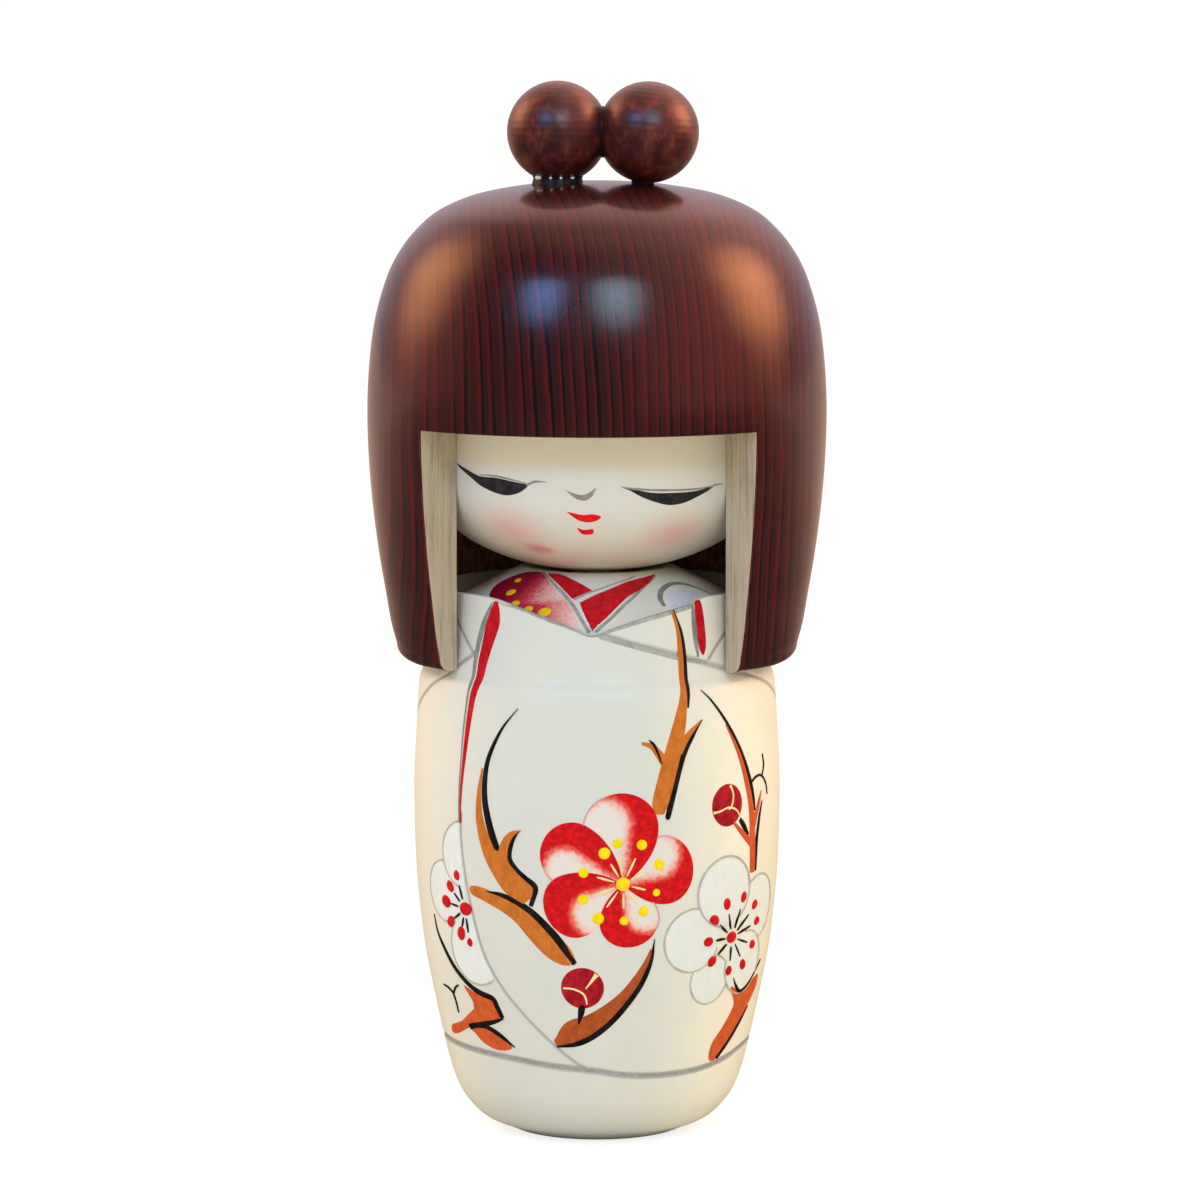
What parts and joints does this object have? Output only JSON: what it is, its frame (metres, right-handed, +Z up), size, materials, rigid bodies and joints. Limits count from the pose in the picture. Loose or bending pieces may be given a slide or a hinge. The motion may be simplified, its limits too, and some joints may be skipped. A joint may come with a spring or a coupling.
{
  "type": "kokeshi doll",
  "caption": "Turned wooden doll with a flared painted body, a separate head under a bobbed hair cap, hair buns on pegs and a head that turns on a dowel.",
  "frame": {"origin": "centre of the flat base, on the axis that the body is turned about", "axes": "+Z up along the turning axis; the face looks along -Y and +X is on a viewer's right"},
  "size_m": [0.0724, 0.0724, 0.1659],
  "materials": {
    "body_paint": "turned wood under satin off-white paint with carved grey lines",
    "face_paint": "turned wood under matt cream paint",
    "hair_lacquer": "dark red-brown stained striped hardwood under satin lacquer",
    "bun_lacquer": "red-brown stained turned wood under satin lacquer",
    "bare_wood": "bare cut wood",
    "paint_red": "red brush paint",
    "paint_grey": "grey paint in carved lines",
    "paint_black": "black brush paint",
    "paint_brown": "brown brush paint",
    "paint_white": "white raised paint",
    "paint_yellow": "yellow paint dots",
    "glue": "dark dried glue with a gloss skin"
  },
  "bodies": {
    "base": {"body": "body_paint"},
    "head_unit": {"neck_dowel": "bare_wood", "head": "face_paint", "hair_cap": "hair_lacquer", "bun_left": "bun_lacquer", "bun_right": "bun_lacquer", "bun_dowel_left": "bare_wood", "bun_dowel_right": "bare_wood"}
  },
  "joints": [
    {"name": "head_turn", "type": "hinge", "parent": "base", "child": "head_unit", "pos_m": [0, 0, 0.0795], "axis": [0, 0, 1], "continuous": true}
  ]
}
